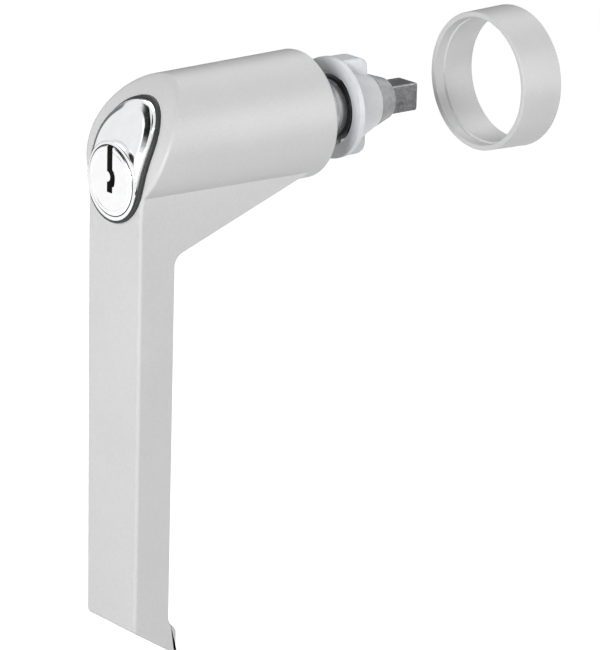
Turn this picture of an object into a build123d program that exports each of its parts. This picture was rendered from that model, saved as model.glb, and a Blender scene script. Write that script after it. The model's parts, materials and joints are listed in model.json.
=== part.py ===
from build123d import *
from math import asin, cos, degrees, radians, sin, sqrt, tan

# Keyed lever handle, in millimetres.
# The origin is where the spindle's axis meets the door. +Y goes into the door,
# -Y comes out to the user, +X is the user's right and +Z is up.
# The lever hangs straight down, which is its closed position.

# Clearances
running_gap = 0.08
seat_gap = 0.05
loose_gap = 0.1
free_gap = 0.3
slot_gap = 0.3

# Cover ring, drawn off over the spindle at rest
ring_length = 14.0
ring_overlap = 1.5
ring_fit = 0.5
ring_skirt = 1.6
ring_wall = 2.2
ring_flare = 0.5
ring_step_depth = 3.4
ring_edge = 0.35
ring_travel = 68.0

# Lever: barrel-shaped hub, gusset and arm
hub_length = 62.9
hub_front_radius = 17.3
hub_rear_radius = 18.1
hub_edge = 0.8
head_lean_radius = 50.0
head_lean_start = 20.0
arm_width = 23.6
arm_foot_width = 22.5
arm_depth = 11.7
arm_drop = 137.0
front_edge = 1.0
arm_rear_edge = 1.8
foot_slope = 33.0
foot_round = 2.0
toe_reach = 3.2
toe_height = 7.5
toe_blend = 3.0
gusset_drop = 30.5
gusset_end = 5.0
gusset_blend = 4.0

# Hub interior
web_thickness = 5.6
chamber_margin = 1.0
bush_bore_radius = 9.7
front_bore_length = 14.0
cavity_radius = 14.6
cap_thickness = 3.0
cap_radius = 15.4
cap_screw_pitch_radius = 12.8
cap_screw_count = 3
cap_boss_radius = 2.6
screw_radius = 1.25
screw_head_radius = 2.4
screw_length = 9.0

# Lock housing and plug
plug_drop = 9.66
plug_radius = 9.6
plug_proud = 1.6
plug_tail_radius = 6.0
plug_edge = 0.4
housing_length = 20.0
housing_low_radius = 10.9
housing_top_radius = 11.2
housing_top_height = 0.2
housing_proud = 3.2
housing_rear_wall = 3.0
housing_bevel_width = 2.0
housing_bevel_depth = 0.8
boss_step = 0.4
gasket_width = 0.8
gasket_proud = 1.0
keyway_width = 2.4
keyway_foot = 3.3
ward_width = 0.9
ward_height = 5.0
grub_radius = 2.0
grub_length = 6.0
grub_bite = 0.8
grub_inset = 4.0

# Wafers in the plug
wafer_count = 5
wafer_front_margin = 4.0
wafer_rear_margin = 3.15
wafer_width = 6.4
wafer_thickness = 1.0
wafer_window_width = 3.4
wafer_window_height = 8.0
wafer_ear = 1.4
spring_radius = 0.5

# Locking train behind the plug
clip_thickness = 0.8
clip_width = 2.4
cam_radius = 5.0
cam_thickness = 1.8
cam_rivet_pitch_radius = 3.3
cam_rivet_radius = 0.9
cam_pin_radius = 1.0
cam_rivet_angles = (-25, 115)
cam_pin_throw = 2.4
cam_pin_angle = 45
bolt_thickness = 2.4
bolt_width = 10.0
bolt_wall = 1.1
bolt_finger_width = 4.0
bolt_finger_height = 2.9

# Index sleeve, fixed to the door flange
sleeve_radius = 8.5
sleeve_bore_radius = 6.0
sleeve_tail = 4.0
notch_count = 4
notch_depth = 3.8
circlip_thickness = 1.1
circlip_groove = 0.6
circlip_width = 1.5
bush_flange = 1.0
bush_flange_radius = 10.3
wave_thickness = 0.8
sleeve_pin_radius = 1.0

# Door flange
flange_radius = 14.4
flange_thickness = 1.5
flange_edge = 0.3
flange_bore_radius = 10.6
flange_recess = 2.6
flange_boss_radius = 12.6
flange_tip_radius = 8.0
flange_boss_length = 12.0
lug_width = 8.0
lug_length = 9.5
lug_round = 3.0
seat_washer_thickness = 1.0

# Spindle and its collar
spindle_size = 8.0
spindle_reach = 28.5
spindle_tip_chamfer = 0.8
stud_radius = 2.5
nut_size = 8.0
nut_thickness = 2.6
collar_front_radius = 7.9
collar_tip_radius = 5.9
collar_length = 6.2
collar_pin_radius = 1.0
tip_thread_radius = 2.1
tip_thread_depth = 12.0

# Places along the spindle axis, from the user towards the door
hub_rear = ring_overlap - ring_length
hub_front = hub_rear - hub_length
arm_rear = hub_front + arm_depth
plug_front = hub_front - plug_proud
boss_front = plug_front + boss_step
housing_rear = hub_front + housing_length
housing_wall_front = housing_rear - housing_rear_wall
clip_front = housing_rear + seat_gap
cam_front = clip_front + clip_thickness + free_gap
cam_rear = cam_front + cam_thickness
bolt_front = cam_rear + free_gap
bolt_rear = bolt_front + bolt_thickness
web_front = bolt_rear + free_gap
web_rear = web_front + web_thickness
sleeve_front = web_rear + free_gap
notch_rear = sleeve_front + notch_depth
finger_rear = notch_rear - free_gap
finger_pocket_rear = notch_rear + free_gap
front_bush_front = finger_pocket_rear + free_gap
front_bore_rear = web_rear + front_bore_length
cap_front = hub_rear - cap_thickness
rear_bush_rear = hub_rear + bush_flange
wave_front = rear_bush_rear + seat_gap
thrust_clip_front = wave_front + wave_thickness + seat_gap
hub_clip_front = cap_front - free_gap - circlip_thickness
flange_front = -flange_thickness
boss_recess_rear = flange_front + flange_recess
seat_washer_front = boss_recess_rear - seat_washer_thickness - seat_gap
flange_clip_front = seat_washer_front - circlip_thickness - seat_gap
collar_front = flange_boss_length + free_gap
collar_rear = collar_front + collar_length
sleeve_pin_depth = (boss_recess_rear + sleeve_tail) / 2
collar_pin_depth = (collar_front + collar_rear) / 2

# Radii that follow from others
ring_bore_radius = hub_rear_radius + ring_fit
ring_front_radius = ring_bore_radius + ring_skirt
ring_rear_radius = ring_front_radius + ring_flare
groove_radius = sleeve_radius - circlip_groove

# Heights
arm_foot = -arm_drop
foot_fall = tan(radians(foot_slope)) * (arm_depth + toe_reach)
cam_travel = 2 * cam_pin_throw * sin(radians(cam_pin_angle))
slot_centre = -plug_drop - cam_travel / 2
slot_half_height = cam_pin_radius + slot_gap / 2
bolt_top = slot_centre + slot_half_height + bolt_wall
bolt_foot = slot_centre - slot_half_height - bolt_wall
finger_foot = bolt_top - bolt_finger_height


def facing(depth):
    """Plane across the spindle's axis at a depth, seen as the user sees it."""
    return Plane.XZ.offset(-depth)


def turn(*corners, mode=Mode.ADD, axis=Axis.Y):
    """Turned form about the spindle's axis, from corners of depth and radius."""
    with BuildSketch(Plane.YZ) as section:
        with BuildLine():
            Polyline(*corners, close=True)
        make_face()
    revolve(section.sketch, axis=axis, mode=mode)


def tube(front, rear, outer, bore):
    """Plain tube about the spindle's axis."""
    turn((front, bore), (rear, bore), (rear, outer), (front, outer))


def pear(depth, grow=0.0):
    """The lock's pear outline: a low circle round the plug and a smaller top one."""
    with BuildSketch(facing(depth)) as outline:
        with Locations((0, -plug_drop)):
            Circle(housing_low_radius + grow)
        with Locations((0, housing_top_height)):
            Circle(housing_top_radius + grow)
        make_hull()
    return outline.sketch


def head_lean(proud=0.0):
    """Everything in front of the leaning face of the head, as a side section."""
    half = head_lean_radius
    sweep_angle = degrees(asin((head_lean_start + hub_rear_radius + arm_depth) / half))
    foremost = plug_front - plug_proud - housing_proud
    lowest = -arm_drop - arm_width
    with BuildSketch(Plane.YZ) as section:
        with BuildLine():
            slope = CenterArc((hub_front + half - proud, -head_lean_start), half, 180, -sweep_angle)
            Polyline(slope @ 1, (foremost, (slope @ 1).Y), (foremost, lowest),
                     (hub_front - proud, lowest), slope @ 0)
        make_face()
    return section.sketch


# Lever casting: hub, gusset and arm in one die casting
with BuildPart() as lever_casting:
    # arm and gusset, cut from their side view
    with BuildSketch(Plane.YZ) as side_view:
        with BuildLine():
            Polyline(
                (hub_front, -plug_drop),
                (hub_front, arm_foot),
                (arm_rear + toe_reach, arm_foot - foot_fall),
                (arm_rear + toe_reach, arm_foot - foot_fall + toe_height),
                (arm_rear, arm_foot - foot_fall + toe_height + toe_reach),
                (arm_rear, -gusset_drop),
                (hub_rear - gusset_end, -sqrt(hub_rear_radius**2 - (arm_width / 2) ** 2)),
                (hub_rear - gusset_end, -plug_drop),
                close=True,
            )
        make_face()
        toe_top = (arm_rear, arm_foot - foot_fall + toe_height + toe_reach)
        toe_tip = (arm_rear + toe_reach, arm_foot - foot_fall + toe_height)
        for corner, radius in (((arm_rear, -gusset_drop), gusset_blend), (toe_top, toe_blend),
                               (toe_tip, foot_round)):
            fillet(side_view.vertices().sort_by_distance(corner)[0], radius)
    extrude(amount=arm_width / 2, both=True)
    # the arm narrows a little towards its foot
    with BuildSketch(facing(0)) as front_view:
        with BuildLine():
            Polyline(
                (-arm_width / 2, 0),
                (arm_width / 2, 0),
                (arm_width / 2, -gusset_drop),
                (arm_foot_width / 2, arm_foot - foot_fall - foot_round),
                (-arm_foot_width / 2, arm_foot - foot_fall - foot_round),
                (-arm_width / 2, -gusset_drop),
                close=True,
            )
        make_face()
    extrude(amount=-hub_front + plug_proud, mode=Mode.INTERSECT)
    # rear edges of the arm
    rear_edges = lever_casting.edges().filter_by(
        lambda e: abs(e.center().Y - arm_rear) < running_gap and e.length > arm_drop / 2
    )
    chamfer(rear_edges, arm_rear_edge)
    foot_edge = lever_casting.edges().sort_by_distance((0, hub_front, arm_foot))[0]
    fillet(foot_edge, foot_round)
    # flared hub
    turn((hub_front, 0), (hub_rear, 0), (hub_rear, hub_rear_radius), (hub_front, hub_front_radius))
    # the head leans back above the plug
    extrude(head_lean(), amount=2 * hub_rear_radius, both=True, mode=Mode.SUBTRACT)
    fillet(lever_casting.edges().filter_by(GeomType.CIRCLE).sort_by(Axis.Y)[-1], hub_edge)
    # rounded front edges, from the head's rim down both sides of the arm
    leaning_face = lever_casting.faces().filter_by(GeomType.CYLINDER).sort_by(Axis.Z)[-1]
    rim = leaning_face.edges().filter_by(lambda e: e.geom_type != GeomType.LINE)
    fillet(rim, front_edge)
    # pocket for the lock, then the smaller chamber of the locking train
    extrude(pear(housing_rear, seat_gap), amount=hub_length, mode=Mode.SUBTRACT)
    extrude(pear(web_front, -chamber_margin), amount=hub_length, mode=Mode.SUBTRACT)
    # cavity of the hub, open at the rear
    turn((web_rear, 0), (hub_rear, 0), (hub_rear, cap_radius), (cap_front, cap_radius),
         (cap_front, cavity_radius), (front_bore_rear, cavity_radius),
         (front_bore_rear, bush_bore_radius), (web_rear, bush_bore_radius), mode=Mode.SUBTRACT)
    # bosses for the cap screws, along the cavity's wall
    with BuildSketch(facing(cap_front)) as screw_bosses:
        with PolarLocations(cap_screw_pitch_radius, cap_screw_count, start_angle=90):
            Circle(cap_boss_radius)
    extrude(amount=cap_front - front_bore_rear)
    with BuildSketch(facing(cap_front)) as screw_holes:
        with PolarLocations(cap_screw_pitch_radius, cap_screw_count, start_angle=90):
            Circle(screw_radius + seat_gap)
    extrude(amount=screw_length - cap_thickness + free_gap, mode=Mode.SUBTRACT)
    # square hole in the web and the window for the bolt's finger
    with BuildSketch(facing(web_rear)) as spindle_hole:
        Rectangle(spindle_size + 2 * seat_gap, spindle_size + 2 * seat_gap)
    extrude(amount=web_thickness, mode=Mode.SUBTRACT)
    with BuildSketch(facing(finger_pocket_rear)) as finger_window:
        with Locations((0, finger_foot - free_gap)):
            Rectangle(
                bolt_finger_width + slot_gap,
                bolt_finger_height + cam_travel + 2 * free_gap,
                align=(Align.CENTER, Align.MIN),
            )
    extrude(amount=finger_pocket_rear - web_front, mode=Mode.SUBTRACT)
    # tapped hole for the grub screw, from the underside of the gusset
    with BuildSketch(Plane.XY.offset(-arm_drop / 2)) as grub_hole:
        with Locations((0, housing_rear - grub_inset)):
            Circle(grub_radius + seat_gap)
    extrude(amount=arm_drop / 2 - plug_drop, mode=Mode.SUBTRACT)
lever_casting.part.label = "lever_casting"
export_step(lever_casting.part, "parts/lever_casting.step")

# Lock housing: pear-shaped insert that carries the plug in a round boss
with BuildPart() as lock_housing:
    extrude(pear(housing_rear), amount=housing_length + housing_proud + plug_proud)
    extrude(head_lean(housing_proud), amount=2 * hub_rear_radius, both=True, mode=Mode.SUBTRACT)
    leaning_top = lock_housing.faces().filter_by(GeomType.CYLINDER).sort_by(Axis.Y)[0]
    face_rim = leaning_top.edges().filter_by(lambda e: e.geom_type != GeomType.LINE)
    chamfer(face_rim, housing_bevel_width, housing_bevel_depth, reference=leaning_top)
    # flat ring round the plug, standing above the leaning face
    extrude(pear(boss_front, seat_gap), amount=housing_proud + plug_proud, mode=Mode.SUBTRACT)
    with BuildSketch(facing(housing_rear)) as boss:
        with Locations((0, -plug_drop)):
            Circle(housing_low_radius)
    extrude(amount=housing_rear - boss_front)
    with BuildSketch(facing(housing_wall_front)) as plug_bore:
        with Locations((0, -plug_drop)):
            Circle(plug_radius + running_gap)
    extrude(amount=hub_length, mode=Mode.SUBTRACT)
    with BuildSketch(facing(housing_rear)) as tail_bore:
        with Locations((0, -plug_drop)):
            Circle(plug_tail_radius + running_gap)
    extrude(amount=housing_rear_wall, mode=Mode.SUBTRACT)
    # dimple where the grub screw bites
    with BuildSketch(Plane.XY.offset(-plug_drop - housing_low_radius - grub_bite)) as dimple:
        with Locations((0, housing_rear - grub_inset)):
            Circle(grub_radius + seat_gap)
    extrude(amount=2 * grub_bite, mode=Mode.SUBTRACT)
lock_housing.part.label = "lock_housing"
export_step(lock_housing.part, "parts/lock_housing.step")

# Rubber gasket round the lock, lying on the leaning face
with BuildPart() as lock_gasket:
    extrude(pear(arm_rear, gasket_width), amount=hub_length)
    extrude(pear(arm_rear, seat_gap), amount=hub_length, mode=Mode.SUBTRACT)
    extrude(head_lean(gasket_proud), amount=2 * hub_rear_radius, both=True, mode=Mode.SUBTRACT)
    extrude(head_lean(), amount=2 * hub_rear_radius, both=True, mode=Mode.INTERSECT)
lock_gasket.part.label = "lock_gasket"
export_step(lock_gasket.part, "parts/lock_gasket.step")

# Grub screw that holds the housing in the casting
grub_top = -plug_drop - housing_low_radius + grub_bite - seat_gap
with BuildPart() as housing_screw:
    with BuildSketch(Plane.XY.offset(grub_top - grub_length)) as grub:
        with Locations((0, housing_rear - grub_inset)):
            Circle(grub_radius)
    extrude(amount=grub_length)
    with BuildSketch(Plane.XY.offset(grub_top - grub_length)) as socket:
        with Locations((0, housing_rear - grub_inset)):
            RegularPolygon(grub_radius / 2, 6)
    extrude(amount=grub_radius, mode=Mode.SUBTRACT)
housing_screw.part.label = "housing_screw"
export_step(housing_screw.part, "parts/housing_screw.step")

# Plug with its keyway and the slots of the wafers
plug_step = housing_wall_front - seat_gap
wafer_run = plug_step - plug_front - wafer_front_margin - wafer_rear_margin - wafer_thickness
wafer_places = [plug_front + wafer_front_margin + wafer_run * n / (wafer_count - 1)
                for n in range(wafer_count)]
clip_groove_radius = plug_tail_radius - circlip_groove
with BuildPart() as key_plug:
    with BuildSketch(facing(plug_step)) as barrel:
        with Locations((0, -plug_drop)):
            Circle(plug_radius)
    extrude(amount=plug_step - plug_front)
    chamfer(key_plug.faces().sort_by(Axis.Y)[0].edges(), plug_edge)
    for end, radius in ((clip_front, plug_tail_radius), (cam_front, clip_groove_radius)):
        with BuildSketch(facing(end)) as tail:
            with Locations((0, -plug_drop)):
                Circle(radius)
        extrude(amount=end - plug_step)
    keyway_top = plug_radius + plug_edge
    with BuildSketch(facing(plug_step)) as keyway:
        with Locations((0, -plug_drop - keyway_foot)):
            Rectangle(keyway_width, keyway_foot + keyway_top, align=(Align.CENTER, Align.MIN))
        with Locations((keyway_width / 2, -plug_drop - keyway_foot + ward_width)):
            Rectangle(ward_width, ward_height, align=(Align.MIN, Align.MIN))
    extrude(amount=plug_step - plug_front, mode=Mode.SUBTRACT)
    for place in wafer_places:
        with BuildSketch(facing(place + wafer_thickness + seat_gap)) as wafer_slot:
            with Locations((0, -plug_drop)):
                Rectangle(wafer_width + 2 * seat_gap, 2 * plug_radius)
            with Locations((wafer_width / 2, -plug_drop)):
                Rectangle(2 * wafer_ear, 2 * wafer_ear + wafer_window_height / 2)
        extrude(amount=wafer_thickness + 2 * seat_gap, mode=Mode.SUBTRACT)
key_plug.part.label = "key_plug"
export_step(key_plug.part, "parts/key_plug.step")

# Wafers, lined up inside the plug as they are with the key in
with BuildPart() as wafer_tumblers:
    for place in wafer_places:
        with BuildSketch(facing(place + wafer_thickness)) as wafer:
            with Locations((0, -plug_drop)):
                Circle(plug_radius - running_gap)
                Rectangle(wafer_width, 2 * plug_radius, mode=Mode.INTERSECT)
                Rectangle(wafer_window_width, wafer_window_height, mode=Mode.SUBTRACT)
            with Locations((wafer_width / 2, -plug_drop + wafer_ear)):
                Rectangle(wafer_ear, wafer_ear, align=(Align.MIN, Align.MIN))
        extrude(amount=wafer_thickness)
wafer_tumblers.part.label = "wafer_tumblers"
export_step(wafer_tumblers.part, "parts/wafer_tumblers.step")

# One spring under the ear of each wafer
spring_top = -plug_drop + wafer_ear
spring_foot = -plug_drop - wafer_ear - wafer_window_height / 4
with BuildPart() as wafer_springs:
    with BuildSketch(Plane.XY.offset(spring_foot + seat_gap)) as spring:
        for place in wafer_places:
            with Locations((wafer_width / 2 + wafer_ear / 2, place + wafer_thickness / 2)):
                Circle(min(spring_radius, wafer_thickness / 2))
    extrude(amount=spring_top - spring_foot - 2 * seat_gap)
wafer_springs.part.label = "wafer_springs"
export_step(wafer_springs.part, "parts/wafer_springs.step")

# Clip that keeps the plug in its housing
clip_outer = plug_tail_radius + clip_width
with BuildPart() as plug_clip:
    with BuildSketch(facing(clip_front + clip_thickness)) as clip:
        with Locations((0, -plug_drop)):
            Circle(clip_outer)
            Circle(clip_groove_radius + seat_gap, mode=Mode.SUBTRACT)
            Rectangle(clip_width, clip_outer + plug_edge, align=(Align.CENTER, Align.MAX),
                      mode=Mode.SUBTRACT)
    extrude(amount=clip_thickness)
plug_clip.part.label = "plug_clip"
export_step(plug_clip.part, "parts/plug_clip.step")

# Cam on the plug's tail: its pin starts low on the left and swings up by a quarter turn
pin_x = -cam_pin_throw * cos(radians(cam_pin_angle))
pin_z = -plug_drop - cam_pin_throw * sin(radians(cam_pin_angle))
rivet_places = [(cam_rivet_pitch_radius * cos(radians(a)),
                 cam_rivet_pitch_radius * sin(radians(a)) - plug_drop) for a in cam_rivet_angles]
with BuildPart() as lock_cam:
    with BuildSketch(facing(cam_rear)) as disc:
        with Locations((0, -plug_drop)):
            Circle(cam_radius)
        with Locations(*rivet_places):
            Circle(cam_rivet_radius + seat_gap, mode=Mode.SUBTRACT)
    extrude(amount=cam_thickness)
    with BuildSketch(facing(bolt_rear)) as pin:
        with Locations((pin_x, pin_z)):
            Circle(cam_pin_radius)
    extrude(amount=bolt_rear - cam_rear)
lock_cam.part.label = "lock_cam"
export_step(lock_cam.part, "parts/lock_cam.step")

# Two rivets that hold the cam on the tail
with BuildPart() as cam_rivets:
    with BuildSketch(facing(cam_rear + seat_gap)) as rivet_heads:
        with Locations(*rivet_places):
            Circle(cam_rivet_radius)
    extrude(amount=cam_thickness + seat_gap)
cam_rivets.part.label = "cam_rivets"
export_step(cam_rivets.part, "parts/cam_rivets.step")

# Locking bolt: plate with a cross slot, and a finger that rises into the sleeve's notch
with BuildPart() as locking_bolt:
    with BuildSketch(facing(bolt_rear)) as plate:
        with Locations((0, (bolt_top + bolt_foot) / 2)):
            RectangleRounded(bolt_width, bolt_top - bolt_foot, bolt_wall / 2)
        with Locations((pin_x - (cam_pin_throw + pin_x) / 2, slot_centre)):
            SlotCenterToCenter(cam_pin_throw + pin_x + slot_gap, 2 * slot_half_height,
                               mode=Mode.SUBTRACT)
    extrude(amount=bolt_thickness)
    with BuildSketch(facing(finger_rear)) as finger:
        with Locations((0, finger_foot)):
            Rectangle(bolt_finger_width, bolt_finger_height, align=(Align.CENTER, Align.MIN))
    extrude(amount=finger_rear - bolt_rear)
locking_bolt.part.label = "locking_bolt"
export_step(locking_bolt.part, "parts/locking_bolt.step")


# Circlips of the sleeve: where each one's front face lies
clip_fronts = {
    "hub_circlip": hub_clip_front,
    "thrust_circlip": thrust_clip_front,
    "flange_circlip": flange_clip_front,
}

# Index sleeve: the fixed tube that the lever turns on, with a notch for each locked position
with BuildPart() as index_sleeve:
    tube(sleeve_front, sleeve_tail, sleeve_radius, sleeve_bore_radius)
    with BuildSketch(facing(notch_rear)) as notches:
        with PolarLocations(sleeve_radius, notch_count, start_angle=90):
            Rectangle(2 * sleeve_bore_radius, bolt_finger_width + 2 * slot_gap)
    extrude(amount=notch_depth, mode=Mode.SUBTRACT)
    for front in clip_fronts.values():
        turn((front, groove_radius), (front + circlip_thickness, groove_radius),
             (front + circlip_thickness, sleeve_radius + circlip_groove),
             (front, sleeve_radius + circlip_groove), mode=Mode.SUBTRACT)
    with BuildSketch(Plane.YZ) as pin_holes:
        with Locations((sleeve_pin_depth, 0)):
            Circle(sleeve_pin_radius + seat_gap)
    extrude(amount=sleeve_radius, both=True, mode=Mode.SUBTRACT)
index_sleeve.part.label = "index_sleeve"
export_step(index_sleeve.part, "parts/index_sleeve.step")


def circlip(name, front):
    """Open retaining ring in its groove on the sleeve, with two ears at the gap."""
    with BuildPart() as ring:
        with BuildSketch(facing(front + circlip_thickness - seat_gap)):
            Circle(groove_radius + circlip_width)
            Circle(groove_radius + seat_gap, mode=Mode.SUBTRACT)
            Rectangle(circlip_width, sleeve_radius + circlip_width, mode=Mode.SUBTRACT,
                      align=(Align.CENTER, Align.MAX))
        extrude(amount=circlip_thickness - 2 * seat_gap)
    ring.part.label = name
    export_step(ring.part, f"parts/{name}.step")


for clip_name, clip_place in clip_fronts.items():
    circlip(clip_name, clip_place)


def flanged_bush(name, plain_end, flange_inner, flange_outer, rim_radius):
    """Nylon bush that the lever turns on, with a flange at its rear end."""
    with BuildPart() as bush:
        turn(
            (plain_end, sleeve_radius + running_gap),
            (flange_outer, sleeve_radius + running_gap),
            (flange_outer, rim_radius),
            (flange_inner, rim_radius),
            (flange_inner, bush_bore_radius - seat_gap),
            (plain_end, bush_bore_radius - seat_gap),
        )
    bush.part.label = name
    export_step(bush.part, f"parts/{name}.step")


flanged_bush("front_bush", front_bush_front, front_bore_rear, front_bore_rear + bush_flange,
             cap_screw_pitch_radius - cap_boss_radius - loose_gap)
flanged_bush("rear_bush", cap_front, hub_rear, rear_bush_rear, bush_flange_radius)

# Cap that closes the hub's rear and carries the rear bush
with BuildPart() as hub_cap:
    tube(cap_front + seat_gap, hub_rear, cap_radius - seat_gap, bush_bore_radius)
    with Locations(facing(hub_rear).rotated((180, 0, 0))):
        with PolarLocations(cap_screw_pitch_radius, cap_screw_count, start_angle=-90):
            CounterSinkHole(screw_radius + seat_gap, screw_head_radius - running_gap)
hub_cap.part.label = "hub_cap"
export_step(hub_cap.part, "parts/hub_cap.step")

# Countersunk screws of the cap
with BuildPart() as cap_screws:
    with BuildSketch(facing(hub_rear - seat_gap)) as screw_heads:
        with PolarLocations(cap_screw_pitch_radius, cap_screw_count, start_angle=90):
            Circle(screw_head_radius - 2 * loose_gap)
    with BuildSketch(facing(hub_rear - seat_gap - (screw_head_radius - screw_radius))) as necks:
        with PolarLocations(cap_screw_pitch_radius, cap_screw_count, start_angle=90):
            Circle(screw_radius - loose_gap)
    for head, neck in zip(screw_heads.sketch.faces(), necks.sketch.faces()):
        loft([head, neck])
    extrude(necks.sketch, amount=screw_length - screw_head_radius + screw_radius)
cap_screws.part.label = "cap_screws"
export_step(cap_screws.part, "parts/cap_screws.step")

# Steel washer between the rear bush and its circlip
with BuildPart() as wave_washer:
    tube(wave_front, wave_front + wave_thickness, bush_flange_radius - free_gap,
         sleeve_radius + seat_gap)
wave_washer.part.label = "wave_washer"
export_step(wave_washer.part, "parts/wave_washer.step")

# Nylon door flange: disc, tapered boss and two driving lugs
with BuildPart() as mounting_flange:
    turn((flange_front, 0), (0, 0), (0, flange_radius), (flange_front, flange_radius))
    fillet(mounting_flange.edges().filter_by(GeomType.CIRCLE), flange_edge)
    with BuildSketch(facing(lug_length)) as lugs:
        Circle(flange_radius - 2 * flange_edge)
        Rectangle(lug_width, 2 * flange_radius, mode=Mode.INTERSECT)
    extrude(amount=lug_length)
    lug_arcs = mounting_flange.edges().filter_by(GeomType.CIRCLE).group_by(Axis.Y)[-1]
    fillet(lug_arcs, lug_round)
    turn((flange_front + flange_edge, 0), (flange_boss_length, 0),
         (flange_boss_length, flange_tip_radius), (0, flange_boss_radius),
         (flange_front + flange_edge, flange_boss_radius))
    turn((flange_front, 0), (boss_recess_rear, 0), (boss_recess_rear, flange_bore_radius),
         (flange_front, flange_bore_radius), mode=Mode.SUBTRACT)
    turn((flange_front, 0), (flange_boss_length, 0), (flange_boss_length, sleeve_bore_radius),
         (sleeve_tail + seat_gap, sleeve_bore_radius), (sleeve_tail + seat_gap, sleeve_radius + seat_gap),
         (flange_front, sleeve_radius + seat_gap), mode=Mode.SUBTRACT)
    with BuildSketch(Plane.YZ) as cross_hole:
        with Locations((sleeve_pin_depth, 0)):
            Circle(sleeve_pin_radius + seat_gap)
    extrude(amount=flange_radius, both=True, mode=Mode.SUBTRACT)
mounting_flange.part.label = "mounting_flange"
export_step(mounting_flange.part, "parts/mounting_flange.step")

# Bright washer at the bottom of the flange's recess
with BuildPart() as seat_washer:
    tube(seat_washer_front, boss_recess_rear - seat_gap, flange_bore_radius - loose_gap,
         sleeve_radius + seat_gap)
seat_washer.part.label = "seat_washer"
export_step(seat_washer.part, "parts/seat_washer.step")

# Pins that lock the sleeve in the flange's boss
boss_fall = (flange_boss_radius - flange_tip_radius) / flange_boss_length
pin_outer = flange_boss_radius - boss_fall * (sleeve_pin_depth + sleeve_pin_radius) - seat_gap
with BuildPart() as sleeve_pins:
    for side in (1, -1):
        with BuildSketch(Plane.YZ.offset(side * (sleeve_bore_radius + free_gap / 2))) as pin_end:
            with Locations((sleeve_pin_depth, 0)):
                Circle(sleeve_pin_radius)
        extrude(amount=side * (pin_outer - sleeve_bore_radius - free_gap / 2))
sleeve_pins.part.label = "sleeve_pins"
export_step(sleeve_pins.part, "parts/sleeve_pins.step")

# Square spindle with a stud in front and a tapped rear end
with BuildPart() as spindle:
    with BuildSketch(facing(spindle_reach)) as square:
        Rectangle(spindle_size, spindle_size)
    extrude(amount=spindle_reach - web_front)
    chamfer(spindle.faces().sort_by(Axis.Y)[-1].edges(), spindle_tip_chamfer)
    with BuildSketch(facing(web_front)) as stud:
        Circle(stud_radius)
    extrude(amount=nut_thickness + free_gap)
    with Locations(facing(spindle_reach).rotated((180, 0, 0))):
        Hole(tip_thread_radius, depth=tip_thread_depth)
    with BuildSketch(Plane.XY.offset(-spindle_size)) as spindle_pin_hole:
        with Locations((0, collar_pin_depth)):
            Circle(collar_pin_radius + seat_gap)
    extrude(amount=spindle_size, mode=Mode.SUBTRACT)
spindle.part.label = "spindle"
export_step(spindle.part, "parts/spindle.step")

# Nut that draws the spindle up against the web
with BuildPart() as spindle_nut:
    with BuildSketch(facing(web_front - seat_gap)) as nut:
        RegularPolygon(nut_size / 2, 6, major_radius=False)
        Circle(stud_radius + seat_gap, mode=Mode.SUBTRACT)
    extrude(amount=nut_thickness - seat_gap)
spindle_nut.part.label = "spindle_nut"
export_step(spindle_nut.part, "parts/spindle_nut.step")

# Collar on the spindle behind the flange, carrying on the boss's taper
with BuildPart() as spindle_collar:
    turn((collar_front, 0), (collar_rear, 0), (collar_rear, collar_tip_radius),
         (collar_front, collar_front_radius))
    with BuildSketch(facing(collar_rear)) as collar_square:
        Rectangle(spindle_size + 2 * seat_gap, spindle_size + 2 * seat_gap)
    extrude(amount=collar_length, mode=Mode.SUBTRACT)
    with BuildSketch(Plane.XY.offset(-collar_front_radius)) as collar_pin_hole:
        with Locations((0, collar_pin_depth)):
            Circle(collar_pin_radius + seat_gap)
    extrude(amount=collar_front_radius, mode=Mode.SUBTRACT)
spindle_collar.part.label = "spindle_collar"
export_step(spindle_collar.part, "parts/spindle_collar.step")

# Pin from below that fixes the collar to the spindle
with BuildPart() as collar_pin:
    with BuildSketch(Plane.XY.offset(-collar_tip_radius)) as collar_pin_end:
        with Locations((0, collar_pin_depth)):
            Circle(collar_pin_radius)
    extrude(amount=collar_tip_radius - loose_gap)
collar_pin.part.label = "collar_pin"
export_step(collar_pin.part, "parts/collar_pin.step")

# Cover ring, drawn off along the spindle: it slides back over the hub's rear end
ring_front = -ring_length + ring_travel
ring_rear = ring_front + ring_length
ring_step = ring_front + ring_step_depth
with BuildPart() as cover_ring:
    turn((ring_front, ring_bore_radius), (ring_step, ring_bore_radius),
         (ring_step, ring_front_radius - ring_wall), (ring_rear, ring_front_radius - ring_wall),
         (ring_rear, ring_rear_radius), (ring_front, ring_front_radius))
    outer_edges = cover_ring.edges().filter_by(GeomType.CIRCLE).sort_by(SortBy.RADIUS)
    fillet([e for e in outer_edges if e.radius > ring_front_radius - ring_edge], ring_edge)
cover_ring.part.label = "cover_ring"
export_step(cover_ring.part, "parts/cover_ring.step")
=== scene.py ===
import json
from math import asin, cos, degrees, pi, radians, sin, sqrt, tan

import bpy
from mathutils import Matrix, Vector

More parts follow.
